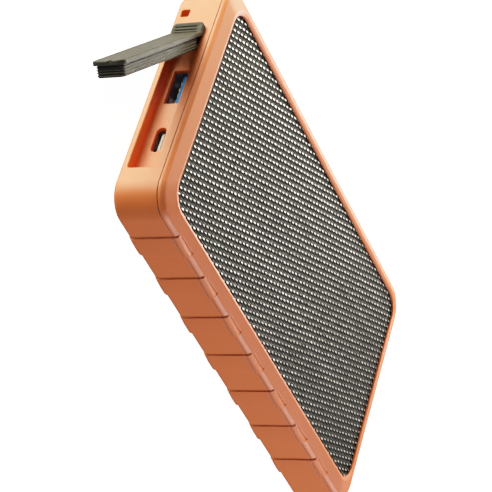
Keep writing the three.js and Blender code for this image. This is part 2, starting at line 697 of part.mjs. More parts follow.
function buildScrews() {
  const group = new THREE.Group();
  screwPlaces().forEach((place, index) => {
    group.add(piece(`case_screw_${index + 1}`, caseScrew(place), FINISH.steel));
  });
  return group;
}

// ---------------------------------------------------------------- assembly

const powerBank = new THREE.Group();
powerBank.add(
  buildCase(),
  buildFlap(),
  buildBoard(),
  buildButton(),
  buildLights(),
  buildCells(),
  buildScrews(),
);

export default powerBank;
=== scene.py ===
# Looks for the rugged power bank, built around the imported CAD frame.
# Lengths in the builders are millimetres; meshes are stored in metres, in the CAD frame.
# +Z is the woven front, -Y the port end, -X the long side with the power button.

import math

import bmesh
import bpy
import numpy as np
from mathutils import Matrix, Vector


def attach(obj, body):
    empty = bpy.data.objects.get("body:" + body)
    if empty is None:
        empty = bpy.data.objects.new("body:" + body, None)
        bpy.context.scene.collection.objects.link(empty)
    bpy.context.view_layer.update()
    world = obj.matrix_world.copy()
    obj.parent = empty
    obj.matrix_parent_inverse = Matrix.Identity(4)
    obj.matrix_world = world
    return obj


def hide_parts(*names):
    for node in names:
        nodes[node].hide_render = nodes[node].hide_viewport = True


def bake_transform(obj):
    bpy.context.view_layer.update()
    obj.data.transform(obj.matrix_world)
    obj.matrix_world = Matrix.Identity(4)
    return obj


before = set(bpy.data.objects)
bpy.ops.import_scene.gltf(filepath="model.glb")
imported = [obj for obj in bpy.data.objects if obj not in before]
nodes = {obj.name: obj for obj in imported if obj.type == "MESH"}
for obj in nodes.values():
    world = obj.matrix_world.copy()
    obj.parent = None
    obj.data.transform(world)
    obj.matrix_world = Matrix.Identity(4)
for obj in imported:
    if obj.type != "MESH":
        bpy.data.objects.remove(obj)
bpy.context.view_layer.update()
scene = bpy.context.scene

MM = 0.001

# ------------------------------ dimensions

HALF_WIDTH, HALF_LENGTH, CORNER = 42.0, 79.5, 8.4
SHELL_TOP, FRAME_BOTTOM = 14.38, 14.5          # the seam runs between them
WALL, INNER_CORNER = 2.2, 6.2
LEDGE_INSET, LEDGE_BOTTOM, LEDGE_CORNER = 3.4, 12.4, 5.0   # the wall is thicker around the seal
SEAL_OUTER, SEAL_INNER, SEAL_BOTTOM, SEAL_TOP = 1.3, 2.8, 13.0, 15.3
BACK_EDGE_RADIUS, SEAM_EDGE_RADIUS, SEAM_FACE_INSET = 1.5, 0.15, 1.2
PAST = 1.0                                     # how far a cutter runs past the face that it opens

PAD_COUNT, PAD_FIRST, PAD_PITCH, PAD_RAISE = 7, -63.8, 19.13, 0.72
PAD_LENGTH_BACK, PAD_LENGTH_FRONT = 7.4, 9.3
PAD_PORT_EDGE = 0.55                           # height of a pad's port-end edge, as a share of PAD_RAISE
PAD_RISE, PAD_BLUR, PAD_ROUND = 0.14, 0.04, 0.5   # run of the port-end edge, its softening, far-edge radius
PAD_STEP = 0.03                                # spacing of the mesh across the port-end edge
PAD_ROUND_STEPS = (1.1, 1, 0.9, 0.8, 0.7, 0.6, 0.5, 0.4, 0.3, 0.2, 0.12, 0.06, 0.02, 0)
BUTTON_SIDE_FIRST_PAD = 2
SIDE_END = 66.0                                # the straight long side runs to here from the middle

END_FACE, BAY_FLOOR, BAY_BACK = -79.5, -75.3, -74.1
PORT_Z = 6.7
BAY = (-23.3, 28.9, 2.5, 11.7)                 # x and z from and to
BAY_CORNER, BAY_LIP = 0.9, 0.3
BAY_BACK_FILLET, BAY_FILLET = 1.15, 0.5
BAY_BLOCK_WALL, BLOCK_CORNER = 2, 0.3
USB_A = (-4.7, 12.8, 5.4)                      # x, width and height of the opening
USB_C = (15.4, 9.0, 3.2)
ANCHOR_SLOT = (BAY[0] + 0.1, BAY[0] + 1.7, 5.4, 8.8)

LANYARD = (-31.5, -28.9, 2.2, 4.8)
LANYARD_BLOCK = (-34.1, -26.3, 0, 7.4)
LANYARD_BLOCK_BACK = -73.0
LANYARD_REACH, LANYARD_BAR = 4.6, 2.2          # depth of the hole, and the bar that a cord loops round

SCREWS = [(x, y) for y in (-73.9, 73.9) for x in (-36.4, 36.4)]
POST_RADIUS, SCREW_BORE, SCREW_HEAD, SCREW_HEAD_DEPTH = 2.4, 1.1, 1.9, 1.8
SCREW_TOP = 16.2
BOARD_SCREWS = [(x, -66.5) for x in (-30, 30)]
BOARD_SCREW_FROM, BOARD_SCREW_TO = 0.9, 3.2

BUTTON_Y = -65.0
BUTTON_HALF_LENGTH, BUTTON_HALF_HEIGHT = 5.0, 2.0
BUTTON_GAP = 0.35
LIGHT_Y = [-57.2 + 2.8 * i for i in range(4)]
WINDOW_HALF_Y, WINDOW_HALF_Z = 0.9, 1

FLAP_AXIS = (-20.6, -80.5)
FLAP_OPEN = math.radians(38.5)
FLAP_Z = (1.9, 12.3)
FLAP_MIDDLE_Z = 7.1
FLAP_X = (-24.8, 29.3)
FLAP_Y = (-81.2, -79.8)
FLAP_BEND = 1.35                               # half the length of the stretch that bends
FLAP_ANCHOR_CORNER, FLAP_TIP_CORNER, FLAP_EDGE = 1.6, 2.3, 0.45

# ------------------------------ mesh helpers


def make_object(name, vertices, faces):
    mesh = bpy.data.meshes.new(name)
    mesh.from_pydata((np.asarray(vertices, float) * MM).tolist(), [], faces)
    mesh.validate()
    obj = bpy.data.objects.new(name, mesh)
    scene.collection.objects.link(obj)
    return obj


def outward(obj):
    """Makes every face of a closed mesh point outwards."""
    bm = bmesh.new()
    bm.from_mesh(obj.data)
    bmesh.ops.recalc_face_normals(bm, faces=bm.faces)
    bm.to_mesh(obj.data)
    bm.free()
    return obj


def loft(name, rings, closed=False):
    """Skins a run of loops that all have the same number of points."""
    count = len(rings[0])
    vertices = np.concatenate([np.asarray(ring, float) for ring in rings])
    faces = []
    spans = len(rings) if closed else len(rings) - 1
    for i in range(spans):
        a, b = i * count, ((i + 1) % len(rings)) * count
        for j in range(count):
            k = (j + 1) % count
            faces.append((a + j, a + k, b + k, b + j))
    if not closed:
        faces.append(tuple(range(count - 1, -1, -1)))
        faces.append(tuple((len(rings) - 1) * count + j for j in range(count)))
    return outward(make_object(name, vertices, faces))


def baked(obj):
    """Applies the modifiers of obj."""
    depsgraph = bpy.context.evaluated_depsgraph_get()
    mesh = bpy.data.meshes.new_from_object(obj.evaluated_get(depsgraph))
    obj.modifiers.clear()
    old = obj.data
    obj.data = mesh
    bpy.data.meshes.remove(old)
    return obj


def boolean(obj, tools, operation="DIFFERENCE"):
    """Cuts, joins or intersects obj with each tool, and removes the tools."""
    for tool in tools:
        modifier = obj.modifiers.new("bool", "BOOLEAN")
        modifier.operation = operation
        modifier.solver = "MANIFOLD"
        modifier.object = tool
        bpy.context.view_layer.update()
        baked(obj)
    for tool in tools:
        bpy.data.objects.remove(tool)
    return obj


def merged(name, objects):
    """One object with the meshes of several, which are removed."""
    bm = bmesh.new()
    for part in objects:
        bm.from_mesh(part.data)
        bpy.data.objects.remove(part)
    mesh = bpy.data.meshes.new(name)
    bm.to_mesh(mesh)
    bm.free()
    obj = bpy.data.objects.new(name, mesh)
    scene.collection.objects.link(obj)
    return obj


def smooth(obj, angle=35, weighted=True):
    """Shades obj smooth, with edges sharper than angle degrees kept."""
    mesh = obj.data
    mesh.polygons.foreach_set("use_smooth", np.ones(len(mesh.polygons), bool))
    mesh.set_sharp_from_angle(angle=math.radians(angle))
    mesh.update()
    if weighted:
        modifier = obj.modifiers.new("normals", "WEIGHTED_NORMAL")
        modifier.keep_sharp = True
    return obj


def rounded(points, closed=False, steps=5):
    """Rounds the corners of a run of (a, b, radius) points."""
    result = []
    count = len(points)
    for i, (a, b, radius) in enumerate(points):
        if not closed and i in (0, count - 1):
            result.append((a, b))
            continue
        p = np.array([a, b], float)
        before = np.array(points[i - 1][:2], float) - p
        after = np.array(points[(i + 1) % count][:2], float) - p
        before /= np.linalg.norm(before)
        after /= np.linalg.norm(after)
        half = math.acos(np.clip(before @ after, -1, 1)) / 2
        reach = radius / math.tan(half)
        middle = before + after
        length = np.linalg.norm(middle)
        if radius <= 0 or length < 1e-6:
            result.extend([(a, b)] * (steps + 1))
            continue
        centre = p + middle / length * (radius / math.sin(half))
        start, end = p + before * reach - centre, p + after * reach - centre
        sweep = math.pi - 2 * half
        for k in range(steps + 1):
            t = k / steps
            mix = start * math.sin((1 - t) * sweep) + end * math.sin(t * sweep)
            result.append(tuple(centre + mix / math.sin(sweep)))
    return result


def rectangle(a0, a1, b0, b1, radius, steps=6):
    """A closed loop of 2-D points round a rectangle with round corners."""
    corners = [(a1 - radius, b0 + radius, -90), (a1 - radius, b1 - radius, 0),
               (a0 + radius, b1 - radius, 90), (a0 + radius, b0 + radius, 180)]
    loop = []
    for a, b, start in corners:
        for k in range(steps + 1):
            angle = math.radians(start + 90 * k / steps)
            loop.append((a + radius * math.cos(angle), b + radius * math.sin(angle)))
    return np.array(loop)


def placed(loop, axis, value):
    """A 2-D loop set across an axis: 'x' loops are (y, z), 'y' loops (x, z), 'z' loops (x, y)."""
    column = np.full(len(loop), value)
    a, b = loop[:, 0], loop[:, 1]
    order = {"x": (column, a, b), "y": (a, column, b), "z": (a, b, column)}[axis]
    return np.stack(order, axis=1)


def lip(face, inwards, radius, steps=4):
    """Stations (position, growth) that round the mouth of a hole cut into a face."""
    stations = [(face - inwards * PAST, radius)]
    for k in range(steps + 1):
        angle = math.pi / 2 * k / steps
        position = face + inwards * radius * (1 - math.cos(angle))
        stations.append((position, radius * (1 - math.sin(angle))))
    return stations


def cutter(rect, radius, axis, stations):
    """A tapering cutter: each station is (position, growth of the rectangle)."""
    rings = []
    for position, growth in stations:
        a0, a1, b0, b1 = rect
        grown = rectangle(a0 - growth, a1 + growth, b0 - growth, b1 + growth, max(radius + growth, 0.05))
        rings.append(placed(grown, axis, position))
    return loft("cutter", rings)


def disc_cutter(x, y, radius, stations):
    """A round cutter along z: each station is (height, growth of the radius)."""
    steps = 32
    angles = np.arange(steps) * 2 * math.pi / steps
    rings = []
    for z, growth in stations:
        r = radius + growth
        rings.append(np.stack([x + r * np.cos(angles), y + r * np.sin(angles), np.full(steps, z)], axis=1))
    return loft("cutter", rings)


# ------------------------------ case outline


def pad_length(z):
    """A pad is shorter at the back than at the front, so its far edge is slanted."""
    return float(np.interp(z, [0, SHELL_TOP], [PAD_LENGTH_BACK, PAD_LENGTH_FRONT]))


def side_run(z, first=0):
    """The y positions along a long side at height z, and how far up a pad each one is, 0..1.

    Every run has the same number of positions, close together at the pads' edges.
    """
    starts = [PAD_FIRST + index * PAD_PITCH for index in range(PAD_COUNT)]
    length = pad_length(z)
    y = [-SIDE_END]
    for start in starts:
        end = start + length
        y.extend(start + step * PAD_STEP for step in range(-2, 8))
        y.append((start + end) / 2)
        y.extend(end - PAD_ROUND * step for step in PAD_ROUND_STEPS)
        y.append(end + 0.1 * PAD_ROUND)
    y.append(SIDE_END)
    y = np.array(y)
    height = np.zeros_like(y)
    shifts = np.linspace(-PAD_BLUR, PAD_BLUR, 5)
    for start in starts[first:]:
        end = start + length
        crown = np.interp(y, [start, (start + end) / 2], [PAD_PORT_EDGE, 1])
        fall = np.sqrt(1 - np.clip(1 - (end - y) / PAD_ROUND, 0, 1) ** 2)
        for shift in shifts:
            rise = np.clip((y + shift - start) / PAD_RISE, 0, 1)
            height += crown * np.minimum(rise, fall) / len(shifts)
    return y, height


END_X = np.linspace(-28, 28, 5)      # mesh positions along a short end
ARC_STEPS = 20


def case_ring(inset, z, radius=None, pad_inset=None, pad_z=None, left_first=BUTTON_SIDE_FIRST_PAD):
    """One loop round the case. On a pad it goes to pad_inset and pad_z instead.

    The button side has pads from number left_first on; the other long side has them all.
    """
    radius = CORNER - inset if radius is None else radius
    pad_inset = inset if pad_inset is None else pad_inset
    pad_z = z if pad_z is None else pad_z
    hx, hy = HALF_WIDTH - inset, HALF_LENGTH - inset

    def side(sign, first):
        y, weight = side_run(z, first)
        x = sign * (HALF_WIDTH - inset + (inset - pad_inset) * weight)
        run = np.stack([x, y, z + (pad_z - z) * weight], axis=1)
        return run if sign > 0 else run[::-1]

    def arc(sx, sy, start):
        angles = np.radians(start + np.linspace(0, 90, ARC_STEPS + 1))
        x = sx * (hx - radius) + radius * np.cos(angles)
        y = sy * (hy - radius) + radius * np.sin(angles)
        return np.stack([x, y, np.full(len(x), z)], axis=1)

    def end(sign):
        x = END_X if sign < 0 else END_X[::-1]
        return np.stack([x, np.full(len(x), sign * hy), np.full(len(x), z)], axis=1)

    parts = [side(1, 0), arc(1, 1, 0), end(1), arc(-1, 1, 90),
             side(-1, left_first), arc(-1, -1, 180), end(-1), arc(1, -1, 270)]
    return np.concatenate(parts)


# ------------------------------ back shell


def shell_cavity():
    """The space inside the back shell, less the port block and the screw posts."""
    lower = [case_ring(WALL, z, radius=INNER_CORNER) for z in (WALL, LEDGE_BOTTOM)]
    upper = [case_ring(LEDGE_INSET, z, radius=LEDGE_CORNER) for z in (LEDGE_BOTTOM, SHELL_TOP + PAST)]
    space = loft("cavity", lower + upper)
    over = SHELL_TOP + 5 * PAST
    block_rect = (BAY[0] - BAY_BLOCK_WALL, BAY[1] + BAY_BLOCK_WALL, 0, over)
    block = cutter(block_rect, BLOCK_CORNER, "y", [(END_FACE - PAST, 0), (BAY_BACK, 0)])
    lanyard = cutter(LANYARD_BLOCK, BLOCK_CORNER, "y", [(END_FACE - PAST, 0), (LANYARD_BLOCK_BACK, 0)])
    posts = [disc_cutter(x, y, POST_RADIUS, [(0, 0), (over, 0)]) for x, y in SCREWS]
    return boolean(space, [block, lanyard, *posts])


def bay_pocket():
    """The port bay, with a rounded mouth and a wide fillet where its back-side wall meets its floor."""
    x0, x1, z0, z1 = BAY
    rings = []
    for y, growth in lip(END_FACE, 1, BAY_LIP):
        loop = rectangle(x0 - growth, x1 + growth, z0 - growth, z1 + growth, BAY_CORNER + growth)
        rings.append(placed(loop, "y", y))
    for angle in np.radians(np.linspace(0, 90, 11)):
        drop = BAY_BACK_FILLET * (1 - math.cos(angle))
        y = BAY_FLOOR - BAY_BACK_FILLET * (1 - math.sin(angle))
        past = max(0.0, y - (BAY_FLOOR - BAY_FILLET))
        inset = BAY_FILLET - math.sqrt(max(BAY_FILLET**2 - past**2, 0))
        loop = rectangle(x0 + inset, x1 - inset, z0 + drop, z1 - inset, BAY_CORNER)
        rings.append(placed(loop, "y", y))
    return loft("cutter", rings)


def port_cutter(port, radius):
    """The opening of a socket in the bay floor."""
    x, width, height = port
    rect = (x - width / 2, x + width / 2, PORT_Z - height / 2, PORT_Z + height / 2)
    return cutter(rect, radius, "y", lip(BAY_FLOOR, 1, 0.14, steps=3) + [(BAY_BACK + PAST, 0)])


def lanyard_cutters():
    """The lanyard hole: in at the end, and out at the back behind a bar."""
    x0, x1, z0, z1 = LANYARD
    corner, edge = 0.35, 0.3
    inner = END_FACE + LANYARD_REACH
    through_end = cutter((x0, x1, z0, z1), corner, "y", lip(END_FACE, 1, edge) + [(inner, 0)])
    back_rect = (x0, x1, END_FACE + LANYARD_BAR, inner)
    through_back = cutter(back_rect, corner, "z", lip(0, 1, edge) + [(z1, 0)])
    return [through_end, through_back]


def side_cutter(y, half_y, half_z, radius, edge, steps):
    """A hole through the button side's wall, centred at y and on the height of the ports."""
    stations = lip(-HALF_WIDTH, 1, edge, steps) + [(PAST + WALL - HALF_WIDTH, 0)]
    return cutter((y - half_y, y + half_y, PORT_Z - half_z, PORT_Z + half_z), radius, "x", stations)


def shell_body():
    """The shell's solid outside, with the lower part of the pads."""
    back_edge = rounded([(3, 0, 0), (0, 0, BACK_EDGE_RADIUS), (0, 5, 0)], steps=8)[1:-1]
    seam_edge = rounded([(0, 14, 0), (0, SHELL_TOP, SEAM_EDGE_RADIUS), (2, SHELL_TOP, 0)], steps=3)[1:-1]
    profile = [*back_edge, (0, 5.0), (0, 10.0), (0, 14.0), *seam_edge]
    rings = [case_ring(inset, z, pad_inset=inset - PAD_RAISE) for inset, z in profile]
    rings.append(case_ring(SEAM_FACE_INSET, SHELL_TOP))
    return loft("case_back_shell", rings)


def back_shell():
    groove_profile = [(SEAL_OUTER, SEAL_BOTTOM), (SEAL_OUTER, SEAL_TOP),
                      (SEAL_INNER, SEAL_TOP), (SEAL_INNER, SEAL_BOTTOM)]
    seal_groove = loft("cutter", [case_ring(inset, z) for inset, z in groove_profile], closed=True)
    ports = [port_cutter(USB_A, 0.5), port_cutter(USB_C, 1.55)]
    anchor_slot = cutter(ANCHOR_SLOT, 0.1, "y", [(BAY_FLOOR - 2 * PAST, 0), (BAY_BACK + PAST, 0)])
    half_z = BUTTON_HALF_HEIGHT + BUTTON_GAP
    button = side_cutter(BUTTON_Y, BUTTON_HALF_LENGTH + BUTTON_GAP, half_z, half_z - 0.02, BUTTON_GAP, 4)
    windows = [side_cutter(y, WINDOW_HALF_Y, WINDOW_HALF_Z, 0.35, 0.15, 3) for y in LIGHT_Y]
    heads = [disc_cutter(x, y, SCREW_HEAD, lip(0, 1, 0.25) + [(SCREW_HEAD_DEPTH, 0)]) for x, y in SCREWS]
    shanks = [disc_cutter(x, y, SCREW_BORE, [(PAST, 0), (SHELL_TOP + PAST, 0)]) for x, y in SCREWS]
    board_bore = [(BOARD_SCREW_FROM, 0), (BOARD_SCREW_TO, 0)]
    board_holes = [disc_cutter(x, y, SCREW_BORE, board_bore) for x, y in BOARD_SCREWS]
    tools = [shell_cavity(), seal_groove, bay_pocket(), *ports, anchor_slot, *lanyard_cutters(), button,
             *windows, *heads, *shanks, *board_holes]
    return smooth(boolean(shell_body(), tools))


# ------------------------------ front frame

# Profiles of the rim. Each corner is an inset from the side of the case, a height and a rounding.
RIM_INNER = [(4.35, 17.9, 0.2), (5.3, 17.6, 0.2), (5.3, 17, 0.1), (4.5, 17, 0.02), (4.5, FRAME_BOTTOM, 0.02)]
RIM_PLAIN = [(0, FRAME_BOTTOM, 0.1), (0, 15.3, 1.6), (0.5, 16.38, 0.35), *RIM_INNER]
RIM_ON_PAD = [(-PAD_RAISE, FRAME_BOTTOM, 0.1), (-PAD_RAISE, 15.4, 1.2), (-0.56, 16.26, 0.26),
              (1.28, 16.34, 0.05), (1.36, 16.7, 0.06), *RIM_INNER]
NOTCH_BACK = (1.15, 1.45)                      # insets between which a pad's notch ends
RIM_CORNERS = {-1: 9.4, 0: 8.4, 0.5: 7.9, 1.2: 7.4, 4.6: 6.9, 5.3: 6.8}


def frame_radius(inset):
    """The corner radius at an inset: the slope's corners open out towards the panel."""
    return float(np.interp(inset, list(RIM_CORNERS), list(RIM_CORNERS.values())))


def front_frame():
    """The frame ring. On a pad its slope starts behind a shallow notch; the button side has no pads here."""
    steps = 4
    slope_index = 2
    start, end = (np.array(corner[:2]) for corner in RIM_PLAIN[slope_index : slope_index + 2])
    extra = (len(RIM_ON_PAD) - len(RIM_PLAIN)) * (steps + 1)
    share = (np.linspace(*NOTCH_BACK, extra) - start[0]) / (end[0] - start[0])
    plain_points = rounded(RIM_PLAIN, True, steps)
    before_end = (slope_index + 1) * (steps + 1)
    plain_points[before_end:before_end] = [tuple(start + (end - start) * t) for t in share]
    rings = []
    for (inset, z), (pad_inset, pad_z) in zip(plain_points, rounded(RIM_ON_PAD, True, steps)):
        rings.append(case_ring(inset, z, frame_radius(inset), pad_inset, pad_z, left_first=PAD_COUNT))
    body = loft("case_front_frame", rings, closed=True)
    bores = [disc_cutter(x, y, SCREW_BORE, [(FRAME_BOTTOM - PAST, 0), (SCREW_TOP, 0)]) for x, y in SCREWS]
    return smooth(boolean(body, bores), angle=32)


# ------------------------------ woven panel

# swing: how far a yarn rises and dips; slant: how far a float's ends lie to either side;
# start: where its wave starts, in half waves, so that warp and weft pass over and under each other.
WARP = {"pitch": 1.07, "width": 0.86, "thickness": 0.3, "swing": 0.2, "slant": -0.16, "start": 0.5}
WEFT = {"pitch": 2.17, "width": 1.96, "thickness": 0.16, "swing": 0.1, "slant": 0.0, "start": 1.5}
FLAT_TOP = 0.32                                # flattens the tops of the wave
LEVEL_SPREAD, PLACE_SPREAD, WIDTH_SPREAD = 0.012, 0.02, 0.05
WANDER, WANDER_LENGTH = 0.035, 9
YARN_POINTS = 5
WEAVE_INSET, WEAVE_RADIUS = 4.95, 7.15
WEAVE_LEVEL = 16.5
BACKING_PROFILE = [(5.0, 15.72), (4.85, 15.8), (4.85, 16.1), (5.0, 16.18)]
BACKING_CORNER = 7.3


def half_chord(offset, half_across, half_along):
    """Half the length of a straight line across a round-cornered rectangle, at an offset from its middle."""
    over = abs(offset) - (half_across - WEAVE_RADIUS)
    if over <= 0:
        return half_along
    return half_along - WEAVE_RADIUS + math.sqrt(max(WEAVE_RADIUS**2 - over**2, 0))


def yarns(name, yarn, cross_pitch, half_across, half_along, along_y, rng):
    """Interlaced yarns: each swings over and under those that cross it, its floats a little askew."""
    pitch = yarn["pitch"]
    angles = np.linspace(0, math.pi, YARN_POINTS)
    profile_u, profile_w = np.cos(angles) * yarn["width"] / 2, np.sin(angles) * yarn["thickness"]
    count = int(half_across * 2 / pitch) + 1
    vertices, faces = [], []
    base = 0
    for index in range(count):
        offset = (index - (count - 1) / 2) * pitch
        reach = half_chord(offset, half_across, half_along)
        quarters = int(reach / cross_pitch * 4)
        samples = np.arange(-quarters - 1, quarters + 2) / 4
        run = np.clip(samples * cross_pitch, -reach, reach)
        phase = math.pi * (run / cross_pitch + index + yarn["start"])
        wave = np.sin(phase)
        wave = wave * (1 + FLAT_TOP - FLAT_TOP * wave**2)
        centre = WEAVE_LEVEL + yarn["swing"] * wave + rng.normal(0, LEVEL_SPREAD)
        drift = offset + rng.normal(0, PLACE_SPREAD)
        drift = drift + WANDER * np.sin(run / WANDER_LENGTH + rng.uniform(0, 6))
        drift = drift + yarn["slant"] * np.sin(2 * phase - math.pi)
        swell = 1 + WIDTH_SPREAD * rng.normal(size=len(run))
        for u, w in zip(profile_u, profile_w):
            side = drift + u * swell
            place = (side, run) if along_y else (run, side)
            vertices.append(np.stack([*place, centre + w], axis=1))
        length = len(run)
        for i in range(length - 1):
            for j in range(YARN_POINTS - 1):
                a, b = base + j * length + i, base + (j + 1) * length + i
                faces.append((a, a + 1, b + 1, b) if along_y else (a, b, b + 1, a + 1))
        base += YARN_POINTS * length
    obj = make_object(name, np.concatenate(vertices), faces)
    return smooth(obj, angle=180, weighted=False)


def woven_panel():
    """The bright warp along the case, the dark weft across it, and the sheet under both."""
    rng = np.random.default_rng(11)
    half_x, half_y = HALF_WIDTH - WEAVE_INSET, HALF_LENGTH - WEAVE_INSET
    warp = yarns("weave_warp_yarns", WARP, WEFT["pitch"], half_x, half_y, True, rng)
    weft = yarns("weave_weft_yarns", WEFT, WARP["pitch"], half_y, half_x, False, rng)
    rings = [case_ring(inset, z, BACKING_CORNER) for inset, z in BACKING_PROFILE]
    core = smooth(loft("weave_backing_sheet", rings))
    return warp, weft, core


# ------------------------------ port flap

GROOVES, GROOVE_DEPTH, GROOVE_HALF_WIDTH = (-23.05, -21.95, -20.85), 0.5, 0.17
GROOVE_MIDDLE, GROOVE_HALF_LENGTH = -0.45, 3.5     # from the middle of the cover
COVER_RIM_WIDTH, COVER_RIM_DEPTH = 1.05, 0.14
COVER_INNER_EDGE = 0.12
GROOVE_FADE, COVER_RIM_FADE = 0.08, 0.05
OUTER_BAND = 0.3                               # the outer face's points lie within this of it
HINGE_X, COVER_X = np.arange(-23.1, -18.6, 0.09), np.arange(-18, 27, 1.5)
NOTCH_LENGTH, NOTCH_DEPTH, NOTCH_Z = 0.55, 0.6, (7.4, 8.8)

PLUG = (-18.8, 28.3, 2.85, 11.35)              # x and z from and to
PLUG_TOP, PLUG_BOTTOM, PLUG_CORNER, PLUG_EDGE = -80.3, -76.2, 1.5, 0.3
PLUG_RIBS, RIB_HALF_WIDTH, RIB_HEIGHT = (-79.15, -78.35, -77.55, -76.75), 0.2, 0.3
PLUG_HOLLOW = [(1.1, -76.2), (1.25, -76.3), (1.3, -78.1), (1.6, -78.4)]    # inset and y
PLUG_HOLLOW_CORNER = 0.8

ROOT_BLOCK = (-22.9, -21.95, 3.0, 11.2)
ROOT_NECK = (-22.9, -21.9, 5.7, 8.5)
ROOT_BARB = (-23.7, -21.1, 4.7, 9.5)


def flap_half_width(x):
    """Half the cover's width at x: full, but rounded off towards both ends."""
    half = (FLAP_Z[1] - FLAP_Z[0]) / 2
    for radius, gap in ((FLAP_ANCHOR_CORNER, x - FLAP_X[0]), (FLAP_TIP_CORNER, FLAP_X[1] - x)):
        if gap < radius:
            return half - radius + math.sqrt(max(radius**2 - (radius - gap) ** 2, 0))
    return half


def step_down(value, softness):
    """1 well below 0 and 0 well above it, with a soft step between."""
    return 1 / (1 + math.exp(value / softness))


def cover_inset(x, y, z, half):
    """How far the cover's outer face is sunk at a point: cross grooves and a low rim."""
    if y >= FLAP_Y[0] + OUTER_BAND:
        return 0
    gap = min(x - FLAP_X[0], FLAP_X[1] - x)
    groove = sum(GROOVE_DEPTH * math.exp(-(((x - g) / GROOVE_HALF_WIDTH) ** 4)) for g in GROOVES)
    groove *= step_down(abs(z - GROOVE_MIDDLE) - GROOVE_HALF_LENGTH, GROOVE_FADE)
    along = step_down(abs(z) - half + COVER_RIM_WIDTH, COVER_RIM_FADE)
    return groove + COVER_RIM_DEPTH * along * step_down(COVER_RIM_WIDTH - gap, COVER_RIM_FADE)


def flap_cover():
    """The closed cover and its anchor tab: one bar with soft edges and three cross grooves."""
    turn = np.linspace(0, math.pi / 2, 12)
    anchor_end = [FLAP_X[0] + FLAP_ANCHOR_CORNER * (1 - math.cos(a)) for a in turn]
    tip_end = [FLAP_X[1] - FLAP_TIP_CORNER * (1 - math.cos(a)) for a in turn[::-1]]
    rings = []
    for x in [*anchor_end, *HINGE_X, *COVER_X, *tip_end]:
        half = flap_half_width(x)
        gap = min(x - FLAP_X[0], FLAP_X[1] - x)
        soft = FLAP_EDGE - math.sqrt(max(FLAP_EDGE**2 - max(FLAP_EDGE - gap, 0) ** 2, 0))
        outer, inner = FLAP_Y[0] + soft, FLAP_Y[1] - soft * 0.3
        corner = [(-half, inner, COVER_INNER_EDGE), (-half, outer, FLAP_EDGE),
                  (half, outer, FLAP_EDGE), (half, inner, COVER_INNER_EDGE)]
        loop = rounded(corner, closed=True, steps=5)
        middle = len(loop) // 2
        left, right = np.array(loop[middle - 1]), np.array(loop[middle])
        fill = [tuple(left + (right - left) * k / 16) for k in range(1, 16)]
        ring = loop[:middle] + fill + loop[middle:]
        points = [(x, y + cover_inset(x, y, z, half), FLAP_MIDDLE_Z + z) for z, y in ring]
        rings.append(np.array(points))
    body = loft("flap_cover", rings)
    notch_rect = (FLAP_X[1] - NOTCH_LENGTH, FLAP_X[1] + PAST, *NOTCH_Z)
    notch = cutter(notch_rect, 0.5, "y", [(FLAP_Y[0] - PAST, 0.25), (FLAP_Y[0] + NOTCH_DEPTH, 0)])
    return boolean(body, [notch])


def flap_plug():
    """The plug under the cover, with four sealing ribs, hollowed from below."""
    x0, x1, z0, z1 = PLUG

    def ring(inset, y, corner):
        loop = rectangle(x0 + inset, x1 - inset, z0 + inset, z1 - inset, corner, steps=7)
        return placed(loop, "y", y)

    rings = []
    for y in np.arange(PLUG_TOP, PLUG_BOTTOM - 0.8 * PLUG_EDGE, 0.06):
        bulges = [1 - ((y - centre) / RIB_HALF_WIDTH) ** 2 for centre in PLUG_RIBS]
        rib = math.sqrt(max(*bulges, 0)) * RIB_HEIGHT
        rings.append(ring(-rib, y, PLUG_CORNER + rib))
    for angle in np.linspace(0, math.pi / 2, 5):
        inset = PLUG_EDGE * (1 - math.cos(angle))
        rings.append(ring(inset, PLUG_BOTTOM - PLUG_EDGE * (1 - math.sin(angle)), PLUG_CORNER - inset))
    rings.extend(ring(inset, y, PLUG_HOLLOW_CORNER) for inset, y in PLUG_HOLLOW)
    return loft("flap_plug", rings)


def flap_root():
    """The root that passes through the bay floor, with its barb."""
    block = cutter(ROOT_BLOCK, 0.25, "y", [(-80.6, 0), (-76.4, 0), (-75.8, -0.15)])
    neck = cutter(ROOT_NECK, 0.2, "y", [(-76.1, 0), (-73.1, 0)])
    barb = cutter(ROOT_BARB, 0.4, "y", [(-73.8, 0), (-73.4, 0), (-72.6, -0.5)])
    return boolean(block, [neck, barb], "UNION")


def bent_open(obj):
    """Turns the closed flap to its open rest place, so that closing it flattens it exactly."""
    co = np.array([v.co for v in obj.data.vertices]) / MM
    axis = np.array(FLAP_AXIS)
    flat = co[:, :2] - axis
    direction = np.array([math.cos(FLAP_OPEN / 2), -math.sin(FLAP_OPEN / 2)])
    weight = (flat[:, 0] > 0).astype(float)
    place = flat
    for _ in range(60):
        angle = -FLAP_OPEN * weight
        c, s = np.cos(angle), np.sin(angle)
        place = np.stack([flat[:, 0] * c - flat[:, 1] * s, flat[:, 0] * s + flat[:, 1] * c], axis=1)
        t = np.clip((place @ direction + FLAP_BEND) / (2 * FLAP_BEND), 0, 1)
        weight = 0.5 * weight + 0.5 * t * t * (3 - 2 * t)
    co[:, :2] = place + axis
    obj.data.vertices.foreach_set("co", (co * MM).ravel())
    obj.data.update()
    return direction


def port_flap():
    flap = merged("port_flap_rubber", [flap_cover(), flap_plug(), flap_root()])
    direction = bent_open(flap)
    smooth(flap, angle=40)
    baked(flap)
    axis = np.array([*FLAP_AXIS, FLAP_MIDDLE_Z])
    reach = np.array([*direction, 0]) * FLAP_BEND
    return flap, tuple((axis - reach) * MM), tuple((axis + reach) * MM)


# ------------------------------ sockets

